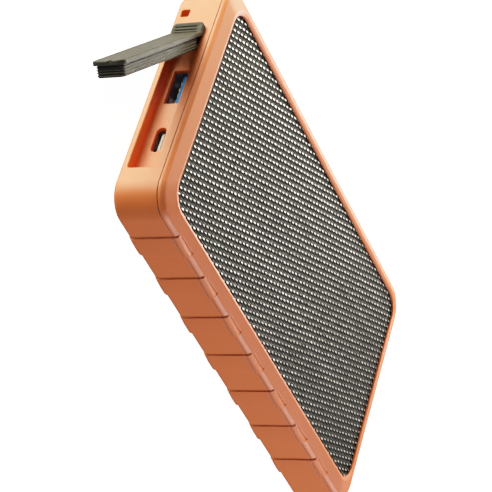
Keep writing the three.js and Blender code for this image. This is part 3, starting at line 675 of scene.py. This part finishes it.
# A finger's bow: distance along the socket and rise above its wall.
FINGER_BOW = [(0.0, 0.02), (0.5, 0.3), (1.0, 0.62), (1.7, 0.86), (2.4, 0.8), (3.4, 0.5), (4.6, 0.2),
              (5.6, 0.04)]
FINGER_THICKNESS, FINGER_WIDTH, FINGER_START = 0.16, 1.9, -73.2
FINGER_SPACING, FINGER_WALL = 3.1, 2.55
CONTACT_PITCH, CONTACT_HALF_WIDTH, CONTACT_THICKNESS = 0.75, 0.17, 0.04
CONTACT_Y = (-73.3, -69.8)
CONTACT_Z = (PORT_Z - 0.4, PORT_Z + 0.36)


def spring_finger(name, x, wall_z, inwards):
    """A sprung contact arm, pressed out of a socket's wall and bowed into its mouth."""
    rings = []
    for along, rise in FINGER_BOW:
        y, z = FINGER_START + along, wall_z + inwards * rise
        far_z = z + inwards * FINGER_THICKNESS
        half = FINGER_WIDTH / 2 * (0.78 + 0.22 * min(along / 1.5, 1))
        corners = [(x - half, z), (x + half, z), (x + half, far_z), (x - half, far_z)]
        rings.append(np.array([(side, y, height) for side, height in corners]))
    obj = loft(name, rings)
    bevel = obj.modifiers.new("bevel", "BEVEL")
    bevel.width, bevel.segments = 0.04 * MM, 2
    return smooth(baked(obj), angle=50)


def usb_c_contacts():
    """Two rows of flat contacts on the tongue."""
    parts = []
    for z in CONTACT_Z:
        for index in range(8):
            x = USB_C[0] + (index - 3.5) * CONTACT_PITCH
            rect = (x - CONTACT_HALF_WIDTH, x + CONTACT_HALF_WIDTH, *CONTACT_Y)
            parts.append(cutter(rect, 0.06, "z", [(z, 0), (z + CONTACT_THICKNESS, 0)]))
    return smooth(merged("usb_c_contact_rows", parts))


# ------------------------------ button

BUTTON_FRONT = -HALF_WIDTH - 0.5
# The key's face from the finger dish outwards: inset from its outline and depth behind its front.
BUTTON_DISH = [(1.7, 0.16), (1.3, 0.13), (1.0, 0.06), (0.75, 0.01), (0.5, 0), (0.3, 0.06), (0.14, 0.17),
               (0.04, 0.34), (0, 0.55)]
# Inset and x; the flange stands outside the outline, behind the wall.
BUTTON_FLANGE = [(0, -39.52), (-0.75, -39.48), (-0.8, -39.4), (-0.8, -38.8), (-0.7, -38.7), (1.2, -38.7)]
BUTTON_NUB = [(-38.9, 0.9), (-38.48, 0.9), (-38.4, 0.82)]     # x and radius


def power_button():
    """A soft domed key with a shallow finger dish, its retaining flange and the nub that works the switch."""
    rings = []
    for inset, x in [(inset, BUTTON_FRONT + depth) for inset, depth in BUTTON_DISH] + BUTTON_FLANGE:
        half_y, half_z = BUTTON_HALF_LENGTH - inset, BUTTON_HALF_HEIGHT - inset
        rect = (BUTTON_Y - half_y, BUTTON_Y + half_y, PORT_Z - half_z, PORT_Z + half_z)
        rings.append(placed(rectangle(*rect, half_z - 0.01, steps=10), "x", x))
    cap = loft("power_button_key", rings)
    angles = np.arange(24) * math.pi / 12
    nub = [np.stack([np.full(24, x), BUTTON_Y + r * np.cos(angles), PORT_Z + r * np.sin(angles)], axis=1)
           for x, r in BUTTON_NUB]
    return smooth(boolean(cap, [loft("cutter", nub)], "UNION"), angle=45)


# ------------------------------ materials


def srgb(r, g, b):
    """A linear colour from 0..255 values."""

    def linear(c):
        c /= 255
        return c / 12.92 if c <= 0.04045 else ((c + 0.055) / 1.055) ** 2.4

    return (linear(r), linear(g), linear(b), 1.0)


def shade(colour, factor):
    """The colour made lighter or darker by a factor."""
    return tuple(min(c * factor, 1.0) for c in colour[:3]) + (1.0,)


class Finish:
    """A node material under construction."""

    def __init__(self, name):
        self.material = bpy.data.materials.new(name)
        self.material.use_nodes = True
        self.tree = self.material.node_tree
        self.shader = self.tree.nodes["Principled BSDF"]
        self.coords = self.tree.nodes.new("ShaderNodeTexCoord").outputs["Object"]

    def node(self, kind, **settings):
        made = self.tree.nodes.new(kind)
        for key, value in settings.items():
            setattr(made, key, value)
        return made

    def link(self, a, b):
        self.tree.links.new(a, b)

    def stretched(self, scale, turn=(0, 0, 0)):
        """Object coordinates, scaled per axis and turned."""
        mapping = self.node("ShaderNodeMapping")
        mapping.inputs["Scale"].default_value = scale
        mapping.inputs["Rotation"].default_value = turn
        self.link(self.coords, mapping.inputs["Vector"])
        return mapping.outputs["Vector"]

    def noise(self, size, detail=2.0, vector=None, roughness=0.5):
        noise = self.node("ShaderNodeTexNoise")
        noise.inputs["Scale"].default_value = 1 / (size * MM)
        noise.inputs["Detail"].default_value = detail
        noise.inputs["Roughness"].default_value = roughness
        self.link(vector or self.coords, noise.inputs["Vector"])
        return noise.outputs["Fac"]

    def voronoi(self, size, feature="F1", vector=None):
        cells = self.node("ShaderNodeTexVoronoi", feature=feature)
        cells.inputs["Scale"].default_value = 1 / (size * MM)
        self.link(vector or self.coords, cells.inputs["Vector"])
        return cells.outputs["Distance"]

    def spread(self, value, low, high, start=0.3, end=0.7):
        """Maps a 0..1 texture to a range."""
        ranged = self.node("ShaderNodeMapRange")
        ranged.inputs["From Min"].default_value = start
        ranged.inputs["From Max"].default_value = end
        ranged.inputs["To Min"].default_value = low
        ranged.inputs["To Max"].default_value = high
        self.link(value, ranged.inputs["Value"])
        return ranged.outputs["Result"]

    def mix(self, factor, a, b):
        """Blends two colours; the colour sockets of the node go by number."""
        mix = self.node("ShaderNodeMix", data_type="RGBA")
        self.link(factor, mix.inputs["Factor"])
        for socket, value in ((mix.inputs[6], a), (mix.inputs[7], b)):
            if isinstance(value, tuple):
                socket.default_value = value
            else:
                self.link(value, socket)
        return mix.outputs[2]

    def bump(self, height, distance, strength=1.0, before=None):
        bump = self.node("ShaderNodeBump")
        bump.inputs["Distance"].default_value = distance * MM
        bump.inputs["Strength"].default_value = strength
        self.link(height, bump.inputs["Height"])
        if before is not None:
            self.link(before, bump.inputs["Normal"])
        return bump.outputs["Normal"]

    def band(self, low, high):
        """1 between two heights in millimetres, fading to 0 over a short way on either side."""
        parts = self.node("ShaderNodeSeparateXYZ")
        self.link(self.coords, parts.inputs[0])
        fade = 0.04
        above = self.spread(parts.outputs["Z"], 0, 1, (low - fade) * MM, low * MM)
        below = self.spread(parts.outputs["Z"], 1, 0, high * MM, (high + fade) * MM)
        both = self.node("ShaderNodeMath", operation="MULTIPLY")
        self.link(above, both.inputs[0])
        self.link(below, both.inputs[1])
        return both.outputs[0]

    def pointed(self, start, end):
        """0..1 over a range of pointiness, for convex edges."""
        geometry = self.node("ShaderNodeNewGeometry")
        return self.spread(geometry.outputs["Pointiness"], 0, 1, start, end)

    def colour(self, value):
        self.link(value, self.shader.inputs["Base Color"])

    def roughness(self, value):
        self.link(value, self.shader.inputs["Roughness"])

    def normal(self, value):
        self.link(value, self.shader.inputs["Normal"])

    def textured(self, texture, dark, pale, roughness, depth, strength=1.0):
        """Gives the finish a colour, a roughness and a relief that all follow one texture."""
        self.colour(self.mix(self.spread(texture, 0, 1), dark, pale))
        self.roughness(self.spread(texture, *roughness))
        self.normal(self.bump(texture, depth, strength))
        return self

    def fixed(self, **values):
        for key, value in values.items():
            self.shader.inputs[key.replace("_", " ")].default_value = value
        return self


# SEAM_SHADE sets how dark the painted seam shadow is.
WORN_PALENESS, SEAM_SHADE = 0.45, 0.36


def moulded(name, colour, roughness, variation=0.05, grain=0.22, height=0.008, specular=0.5, wear=0.12,
            seam=None):
    """Moulded plastic or rubber: fine grain, slight mottling, softly worn edges, and a painted shadow along a
    seam.
    """
    finish = Finish(name)
    mottle = finish.spread(finish.noise(14, 3), 0, 1)
    base = finish.mix(mottle, shade(colour, 1 - variation), shade(colour, 1 + variation))
    if wear:
        edge = finish.pointed(0.53, 0.62)
        worn = finish.node("ShaderNodeMath", operation="MULTIPLY")
        finish.link(edge, worn.inputs[0])
        worn.inputs[1].default_value = wear
        pale = tuple(c + (1 - c) * WORN_PALENESS for c in colour[:3]) + (1.0,)
        base = finish.mix(worn.outputs[0], base, pale)
    # seam gives the heights of a band darkened by SEAM_SHADE: a painted shadow for the shade in the gap
    # between the parts.
    if seam is not None:
        base = finish.mix(finish.band(*seam), base, shade(colour, SEAM_SHADE))
    finish.colour(base)
    finish.roughness(finish.spread(finish.noise(2.2, 4), roughness - 0.05, roughness + 0.06))
    coarse = finish.bump(finish.noise(grain, 2), height)
    finish.normal(finish.bump(finish.noise(grain * 6, 1), height * 1.2, 0.5, coarse))
    return finish.fixed(Specular_IOR_Level=specular)


def metal(name, colour, roughness, brush=(1, 1, 1), spread=0.08):
    """Stamped or turned metal with fine draw lines."""
    finish = Finish(name)
    lines = finish.noise(0.25, 3, finish.stretched(brush))
    finish.colour(finish.mix(finish.spread(lines, 0, 1), shade(colour, 0.86), shade(colour, 1.08)))
    finish.roughness(finish.spread(finish.noise(1.1, 3), roughness - spread, roughness + spread))
    finish.normal(finish.bump(lines, 0.004))
    return finish.fixed(Metallic=1.0)


# The orange carries a painted seam shadow: a dark band at the gap between shell and frame.
orange = moulded("orange_moulded_plastic", (0.70, 0.135, 0.03, 1.0), 0.46, variation=0.03,
                 seam=(SHELL_TOP - 0.1, FRAME_BOTTOM + 0.06))
rubber = moulded("grey_flap_rubber", (0.03, 0.0265, 0.023, 1), 0.58, variation=0.12, grain=0.3,
                 height=0.012, wear=0.16, specular=0.18)
button_rubber = moulded("button_rubber", (0.03, 0.03, 0.029, 1), 0.6, variation=0.12, grain=0.25, wear=0.2)
black_plastic = moulded("black_moulded_plastic", (0.018, 0.018, 0.02, 1), 0.48, grain=0.3)
chip = moulded("chip_package_resin", (0.02, 0.02, 0.022, 1), 0.62, grain=0.12, wear=0.1)
# The seal's dark reddish brown is painted shade: it keeps the seam gap, where the seal shows, dark.
seal_silicone = moulded("seal_silicone", srgb(120, 60, 34), 0.6, grain=0.4, wear=0)
blue_plastic = moulded("blue_tongue_plastic", (0.005, 0.17, 0.62, 1), 0.5, grain=0.2, specular=0.2, wear=0)
red_lead = moulded("red_lead_jacket", srgb(181, 38, 30), 0.42, grain=0.3, wear=0)
black_lead = moulded("black_lead_jacket", (0.012, 0.012, 0.013, 1), 0.42, grain=0.3, wear=0)

steel = metal("plated_socket_steel", (0.5, 0.54, 0.61, 1), 0.48, brush=(4, 0.3, 1))
tongue_metal = metal("tongue_plate_metal", (0.26, 0.265, 0.28, 1), 0.5, brush=(4, 0.3, 1))
screw_steel = metal("screw_steel", (0.42, 0.42, 0.43, 1), 0.34, brush=(1, 1, 6))
gold = metal("gold_contacts", srgb(217, 180, 90), 0.26, brush=(5, 0.3, 1))
bright_metal = metal("bright_tab_metal", (0.6, 0.6, 0.61, 1), 0.3, brush=(0.3, 5, 1))


PAINTED_GLINT_HEIGHTS = (0.40, 0.46)                       # heights above WEAVE_LEVEL over which a yarn turns silver and metallic: a painted highlight on the float crests, where the glints fall


def warp_finish():
    """Dark filament yarn whose raised float tops are painted silver and metallic, a painted highlight where
    the glints fall that the lamps then brighten; fine twisted filaments, uneven from yarn to yarn.
    """
    finish = Finish("weave_silver_yarn")
    filaments = finish.noise(0.16, 2, finish.stretched((1, 0.16, 1), (0, 0, math.radians(24))))
    yarn_to_yarn = finish.noise(1.6, 2, finish.stretched((1, 0.3, 1)))
    height = finish.node("ShaderNodeSeparateXYZ")
    finish.link(finish.coords, height.inputs[0])
    low, high = ((WEAVE_LEVEL + above) * MM for above in PAINTED_GLINT_HEIGHTS)
    # Painted highlight: only the crests of the floats are silver and metallic, and the rest of the yarn stays
    # dark.
    painted_glint_mask = finish.spread(height.outputs["Z"], 0, 1, low, high)
    silver = finish.mix(finish.spread(yarn_to_yarn, 0, 1), (0.42, 0.41, 0.385, 1), (0.74, 0.73, 0.69, 1))
    dark = finish.mix(finish.spread(filaments, 0, 1), (0.004, 0.004, 0.004, 1), (0.018, 0.0175, 0.016, 1))
    finish.colour(finish.mix(painted_glint_mask, dark, silver))
    finish.roughness(finish.spread(painted_glint_mask, 0.45, 0.28, 0, 1))
    finish.link(finish.spread(painted_glint_mask, 0, 0.85, 0, 1), finish.shader.inputs["Metallic"])
    finish.normal(finish.bump(filaments, 0.02, 0.7))
    return finish.fixed(Specular_IOR_Level=0.12)


def weft_finish():
    """Dark flat yarn that crosses under the bright one."""
    finish = Finish("weave_dark_yarn")
    filaments = finish.noise(0.16, 2, finish.stretched((0.16, 1, 1)))
    finish.textured(filaments, (0.004, 0.004, 0.004, 1), (0.02, 0.0195, 0.018, 1), (0.7, 0.85), 0.03, 0.8)
    return finish.fixed(Specular_IOR_Level=0.06)


def board_finish():
    """Solder resist with darker bare laminate between copper runs."""
    finish = Finish("circuit_board_laminate")
    runs = finish.voronoi(2.4, "DISTANCE_TO_EDGE", finish.stretched((1, 1.6, 1)))
    copper = finish.spread(runs, 0, 1, 0.08, 0.12)
    finish.colour(finish.mix(copper, (0.012, 0.075, 0.03, 1), (0.02, 0.13, 0.05, 1)))
    finish.roughness(finish.spread(finish.noise(1.5, 3), 0.3, 0.46))
    finish.normal(finish.bump(copper, 0.03))
    return finish.fixed(Specular_IOR_Level=0.5)


def foil_finish():
    """Pouch-cell laminate with shallow creases."""
    finish = Finish("pouch_cell_foil")
    creases = finish.noise(7, 5, roughness=0.62)
    finish.colour(finish.mix(finish.spread(creases, 0, 1), (0.42, 0.43, 0.44, 1), (0.6, 0.61, 0.62, 1)))
    finish.roughness(finish.spread(finish.noise(2, 4), 0.32, 0.5))
    finish.normal(finish.bump(creases, 0.25, 0.8))
    return finish.fixed(Metallic=0.85)


def foam_finish():
    """Closed-cell foam."""
    finish = Finish("cell_foam")
    dark, pale = (0.012, 0.012, 0.013, 1), (0.04, 0.04, 0.043, 1)
    return finish.textured(finish.voronoi(0.7), dark, pale, (0.8, 0.95), 0.08)


def clear_finish():
    """Frosted clear guide."""
    finish = Finish("clear_light_guide")
    finish.textured(finish.noise(1.2, 3), (0.78, 0.84, 0.86, 1), (0.9, 0.94, 0.95, 1), (0.18, 0.34), 0.02)
    return finish.fixed(Transmission_Weight=0.75, IOR=1.49)


def lamp_finish():
    """Light chip: pale phosphor with a slightly uneven face."""
    finish = Finish("light_chip_phosphor")
    dark, pale = (0.5, 0.72, 0.86, 1), (0.72, 0.87, 0.95, 1)
    return finish.textured(finish.noise(0.4, 2), dark, pale, (0.28, 0.42), 0.01)


warp_yarn, weft_yarn = warp_finish(), weft_finish()
board, foil, foam, clear, lamp = board_finish(), foil_finish(), foam_finish(), clear_finish(), lamp_finish()


def dress(obj, finish):
    obj.data.materials.clear()
    obj.data.materials.append(finish.material)
    return obj


# ------------------------------ pieces on the case

shell = dress(back_shell(), orange)
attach(shell, "case")
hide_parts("back_shell")

rim = dress(front_frame(), orange)
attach(rim, "case")
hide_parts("front_frame")

warp, weft, core = woven_panel()
for part, finish in ((warp, warp_yarn), (weft, weft_yarn), (core, weft_yarn)):
    dress(part, finish)
    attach(part, "case")
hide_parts("weave_panel")

for index, x in enumerate((USB_A[0] - FINGER_SPACING, USB_A[0] + FINGER_SPACING)):
    for wall, side, inwards in (("spring", -1, 1), ("top", 1, -0.4)):
        finger = spring_finger(f"usb_a_{wall}_finger_{index + 1}", x, PORT_Z + side * FINGER_WALL, inwards)
        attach(dress(finger, steel), "case")
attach(dress(usb_c_contacts(), gold), "case")

# ------------------------------ moving pieces

flap, bend_start, bend_end = port_flap()
dress(flap, rubber)
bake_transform(flap)
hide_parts("port_flap", "flap_anchor", "flap_hinge_web")

key = dress(power_button(), button_rubber)
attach(key, "button")
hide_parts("power_button")

# ------------------------------ CAD nodes that stay

def numbered(name, count):
    return [f"{name}_{i + 1}" for i in range(count)]


# Slot, finish, nodes and bevel width.
KEPT = [
    ("plated_steel", steel, ["usb_a_shell", "usb_c_shell", "switch_body", *numbered("board_screw", 2)], 0.08),
    ("plated_steel", tongue_metal, ["usb_c_tongue"], 0.08),
    ("screw_steel", screw_steel, numbered("case_screw", 4), 0.1),
    ("blue_plastic", blue_plastic, ["usb_a_tongue"], 0.12),
    ("gold_contacts", gold, numbered("usb_a_contact", 4), 0.05),
    ("black_plastic", black_plastic, ["panel_backing_plate", "usb_c_riser", "switch_plunger"], 0.1),
    ("seal_silicone", seal_silicone, ["perimeter_seal"], 0.2),
    ("circuit_board", board, ["circuit_board", "protection_board"], 0.08),
    ("chip_black", chip, ["charge_controller", "output_converter", "power_inductor"], 0.15),
    ("cell_foil", foil, ["battery_cell_back", "battery_cell_front"], 0.9),
    ("bright_metal", bright_metal, numbered("capacitor", 2) + numbered("cell_tab", 4), 0.1),
    ("cell_foam", foam, ["foam_pad_back", "foam_pad_middle"], 0.1),
    ("clear_guides", clear, numbered("light_guide", 4), 0.12),
    ("light_chips", lamp, numbered("charge_light", 4), 0.08),
    ("red_lead", red_lead, ["cell_lead_positive"], 0),
    ("black_lead", black_lead, ["cell_lead_negative"], 0),
]

for slot, finish, names, width in KEPT:
    for name in names:
        node = dress(nodes[name], finish)
        if width:
            bevel = node.modifiers.new("bevel", "BEVEL")
            bevel.width = width * MM
            bevel.segments = 3
            bevel.limit_method = "ANGLE"
            bevel.angle_limit = math.radians(40)

# ------------------------------ floor, light, camera


FLOOR_SIZE, FLOOR_GLOW = 3000, 2.7
FLOOR_DROP = 0.05                              # keeps the floor clear of the back face
CAMERA_LENS, CAMERA_SENSOR = 172.2, 36
CAMERA_PLACE = Vector((0.4088, -0.5242, 0.3224))
CAMERA_RIGHT = Vector((-0.25013316, 0.3577638, 0.89968798))
CAMERA_UP = Vector((-0.79185131, -0.61029804, 0.02253478))
TONE_WHITE, TONE_BEND = 3.2, 1.25


def build_floor():
    """A plain pale floor. It stands in a light tent, so it neither blocks the low lights nor bounces them."""
    corners = [(x * FLOOR_SIZE, y * FLOOR_SIZE, 0) for x, y in ((-1, -1), (1, -1), (1, 1), (-1, 1))]
    floor = make_object("studio_floor", corners, [(0, 1, 2, 3)])
    floor.location.z = -FLOOR_DROP * MM
    finish = Finish("studio_floor_paper")
    paper = finish.spread(finish.noise(60, 2), 0, 1)
    finish.colour(finish.mix(paper, (0.86, 0.86, 0.86, 1), (0.89, 0.89, 0.89, 1)))
    finish.roughness(finish.spread(finish.noise(30, 2), 0.85, 0.95))
    finish.fixed(Specular_IOR_Level=0.1, Emission_Color=(1, 1, 1, 1), Emission_Strength=FLOOR_GLOW)
    floor.data.materials.append(finish.material)
    floor.visible_diffuse = False
    floor.visible_glossy = False
    floor.visible_shadow = False
    floor.visible_transmission = False


def area_light(name, place, target, size, power, colour=(1, 1, 1)):
    """A soft box at place, facing target; lengths in metres."""
    data = bpy.data.lights.new(name, "AREA")
    data.shape = "RECTANGLE"
    data.size, data.size_y = size
    data.energy = power
    data.color = colour
    light = bpy.data.objects.new(name, data)
    light.location = place
    light.rotation_euler = (Vector(target) - Vector(place)).to_track_quat("-Z", "Y").to_euler()
    scene.collection.objects.link(light)


def build_world(strength):
    world = bpy.data.worlds.new("studio_world")
    scene.world = world
    world.use_nodes = True
    background = world.node_tree.nodes["Background"]
    background.inputs["Color"].default_value = (1, 1, 1, 1)
    background.inputs["Strength"].default_value = strength


def build_camera():
    data = bpy.data.cameras.new("camera")
    data.sensor_width = CAMERA_SENSOR
    data.lens = CAMERA_LENS
    data.clip_start, data.clip_end = 0.02, 20
    camera = bpy.data.objects.new("camera", data)
    scene.collection.objects.link(camera)
    place, right, up = CAMERA_PLACE, CAMERA_RIGHT, CAMERA_UP
    back = right.cross(up)
    camera.matrix_world = Matrix((
        (right.x, up.x, back.x, place.x),
        (right.y, up.y, back.y, place.y),
        (right.z, up.z, back.z, place.z),
        (0, 0, 0, 1),
    ))
    scene.camera = camera


def soft_shoulder():
    """A camera-like tone curve: highlights roll off to white instead of clipping channel by channel."""
    view = scene.view_settings
    view.view_transform = "Standard"
    view.look = "None"
    view.use_curve_mapping = True
    mapping = view.curve_mapping
    mapping.white_level = (TONE_WHITE,) * 3
    curve = mapping.curves[3]
    full = 1 - math.exp(-TONE_BEND * TONE_WHITE)
    for x in (0.1, 0.25, 0.5, 0.8, 1.2, 1.7, 2.3):
        curve.points.new(x / TONE_WHITE, (1 - math.exp(-TONE_BEND * x)) / full)
    mapping.update()


build_floor()
build_world(0.12)
area_light("low_end_softbox", (-0.44, -0.66, -0.38), (0, -0.07, 0), (1.1, 0.8), 29, (1, 0.97, 0.66))
area_light("warm_key_softbox", (-0.62, -0.05, 0.33), (0, -0.05, 0), (0.3, 0.25), 6.4, (1, 0.86, 0.48))
area_light("low_left_softbox", (-0.62, 0.50, -0.40), (0, -0.03, 0), (0.9, 0.7), 4.4, (1, 0.97, 0.9))
area_light("weave_softbox", (-0.29, 0.196, 0.19), (-0.03, -0.05, 0.018), (0.14, 0.12), 2.3, (1, 0.95, 0.84))
area_light("corner_softbox", (-0.19, -0.035, 0.1), (-0.035, -0.07, 0.015), (0.08, 0.08), 0.22, (1, 0.9, 0.6))
area_light("front_fill", (0.55, -0.65, 0.25), (0, -0.04, 0.01), (0.5, 0.5), 0.25, (1, 0.97, 0.93))
area_light("side_softbox", (0.58, 0.58, 0.27), (0.02, 0, 0), (0.6, 0.6), 8.4)
area_light("back_softbox", (-0.17, 0.75, 0.45), (0, 0, 0.01), (0.3, 0.3), 0.9)
build_camera()
soft_shoulder()
